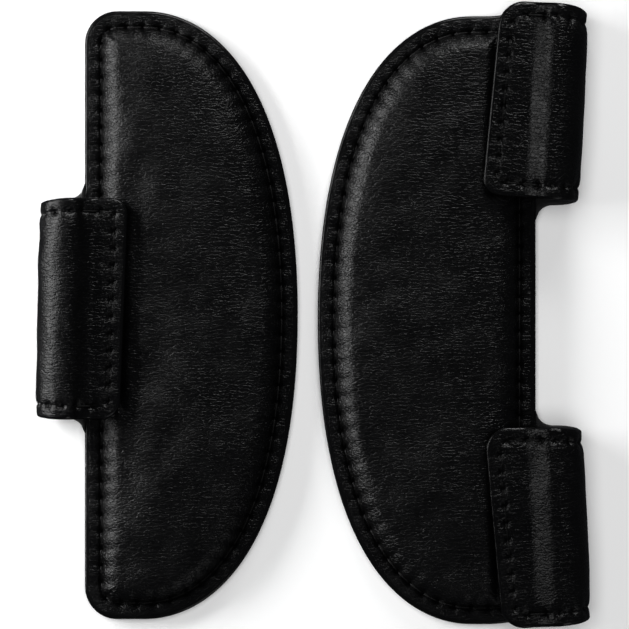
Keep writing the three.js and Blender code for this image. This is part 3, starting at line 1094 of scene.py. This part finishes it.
def tape_patch(name, tab, profile, hooked):
    """Hook patch under the flap, with its hooks, or the flat loop patch over the pad's front."""
    rng = np.random.default_rng(40 + len(name))
    end = profile["end"] - 1.6
    half_length = tab["width"] / 2 - 5.6
    u_lines = np.linspace(end - 7.4, end, 16)
    v_lines = np.linspace(-half_length, half_length, 96)
    u, v = (g.ravel() for g in np.meshgrid(u_lines, v_lines, indexing="ij"))
    askew = sum(tab["levelled"]) / 2
    v = v - askew * levelling(tab, profile, u)
    under = LEATHER + PLY_GAP + LINING + 0.06
    if hooked:
        near = np.full(len(u), under)
        far = near + 0.5 + rng.uniform(-0.02, 0.02, len(u))
    else:
        near = FLAP_TOP - np.full(len(u), 7.25) + rng.uniform(-0.12, 0.12, len(u))
        far = np.full(len(u), FLAP_TOP - SHELF - 0.1)
    points = np.concatenate([wrap(tab, profile, u, v, near), wrap(tab, profile, u, v, far)])
    faces = sheet_faces(len(u_lines), len(v_lines))
    if hooked:
        # rows of short bent hooks, leaning alternate ways
        runs = []
        for i, hu in enumerate(np.arange(end - 6.9, end - 0.3, 0.95)):
            for hv in np.arange(-half_length + 0.6, half_length - 0.4, 1.1):
                lean = 0.28 * (1 if i % 2 else -1)
                hook_u = hu + np.array([0, 0, 0.45 * lean, 1.6 * lean])
                hook_depth = under + 0.45 + np.array([0.0, 0.3, 0.5, 0.42])
                hook_v = hv - askew * levelling(tab, profile, hook_u)
                runs.append(wrap(tab, profile, hook_u, hook_v, hook_depth))
        hook_points, hook_faces = tubes(runs, 0.11, 4)
        faces += [tuple(i + len(points) for i in f) for f in hook_faces]
        points = np.concatenate([points, hook_points])
    node_name = f"{name}_hook_patch" if hooked else tab["loop_patch"]
    kind = "hooks" if hooked else "pile"
    piece = mesh_object(f"{name}_{kind}", place(tab["half"], points), faces, TAPE_BLACK)
    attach(piece, name if hooked else f"{tab['half']}_pad")
    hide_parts(node_name)


# ---- the scene ------------------------------------------------------------------------------------


def add_camera():
    """Straight above, far enough away that heights hardly shift, framed round the whole layout."""
    distance = 1.3
    frame_width = 0.1857
    data = bpy.data.cameras.new("camera")
    data.sensor_width = 36.0
    data.lens = data.sensor_width * distance / frame_width
    camera = bpy.data.objects.new("camera", data)
    camera.location = (0.0003, 0.0, distance + 0.006)
    bpy.context.scene.collection.objects.link(camera)
    bpy.context.scene.camera = camera


def add_area(name, location, size, power, glossy=True):
    """A rectangular light that points at the origin."""
    data = bpy.data.lights.new(name, "AREA")
    data.shape = "RECTANGLE"
    data.size, data.size_y = size
    data.energy = power
    light = bpy.data.objects.new(name, data)
    light.location = location
    toward = Vector((0.0, 0.0, 0.0)) - light.location
    light.rotation_euler = toward.to_track_quat("-Z", "Y").to_euler()
    light.visible_glossy = glossy
    bpy.context.scene.collection.objects.link(light)


def add_studio():
    """Pale floor, a low soft key from the left, rims, and a fill that gives no highlights."""
    for name, power in (("key", 0.25), ("flagged_key", 2.9)):
        add_area(name, (-0.4, 0.13, 0.15), (0.34, 0.08), power)
    add_area("top_key", (0.1, 0.5, 0.24), (0.3, 0.1), 1.0)
    add_area("rim_left", (-0.6, 0.05, 0.07), (0.4, 0.05), 0.35)
    add_area("rim_low", (0.35, -0.7, 0.3), (0.4, 0.2), 0.3)
    add_area("fill", (0.0, 0.0, 1.6), (1.6, 1.6), 24.0, glossy=False)
    world = bpy.data.worlds.new("studio")
    world.use_nodes = True
    background = world.node_tree.nodes["Background"]
    background.inputs["Color"].default_value = (0.9, 0.93, 1.0, 1)
    background.inputs["Strength"].default_value = 0.035
    bpy.context.scene.world = world
    bpy.context.scene.view_settings.view_transform = "Standard"

    size = 3.0
    points = np.array([[-size, -size, 0], [size, -size, 0], [size, size, 0], [-size, size, 0]])
    points[:, 2] = -0.0002
    material, nodes, links = shader("pale_floor")
    principled = nodes["Principled BSDF"]
    principled.inputs["Roughness"].default_value = 0.9
    principled.inputs["Specular IOR Level"].default_value = 0.1
    noise = node(nodes, "ShaderNodeTexNoise", {"Scale": 3.0})
    tone = node(nodes, "ShaderNodeMix", data_type="RGBA")
    tone.inputs["A"].default_value = (0.82, 0.82, 0.82, 1)
    tone.inputs["B"].default_value = (0.86, 0.86, 0.86, 1)
    links.new(noise.outputs["Fac"], tone.inputs["Factor"])
    links.new(tone.outputs["Result"], principled.inputs["Base Color"])
    floor = mesh_object("floor", points, [(0, 1, 2, 3)], material)
    # the floor lights the leather but isn't mirrored in it, as under a cut-out studio shot
    floor.visible_glossy = False


def flag_key():
    """Keeps most of the key off the right pad's flaps, as a flag beside the light would."""
    lit = bpy.data.collections.new("lit_by_flagged_key")
    for piece in bpy.context.scene.objects:
        if piece.type == "MESH" and not piece.name.startswith(("right_upper_tab", "right_lower_tab")):
            lit.objects.link(piece)
    bpy.data.objects["flagged_key"].light_linking.receiver_collection = lit


add_camera()
add_studio()
for half_name in HALVES:
    back_panel(half_name)
    foam_core(half_name)
    front_panel(half_name)
    perimeter_stitches(half_name)
for tab_name, tab_spec in TABS.items():
    path = tab_profile(tab_spec)
    seam_path = outer_ply(tab_name, tab_spec, path)
    lining_ply(tab_name, tab_spec, path)
    tab_stitches(tab_name, tab_spec, path, seam_path)
    tape_patch(tab_name, tab_spec, path, hooked=True)
    tape_patch(tab_name, tab_spec, path, hooked=False)

flag_key()
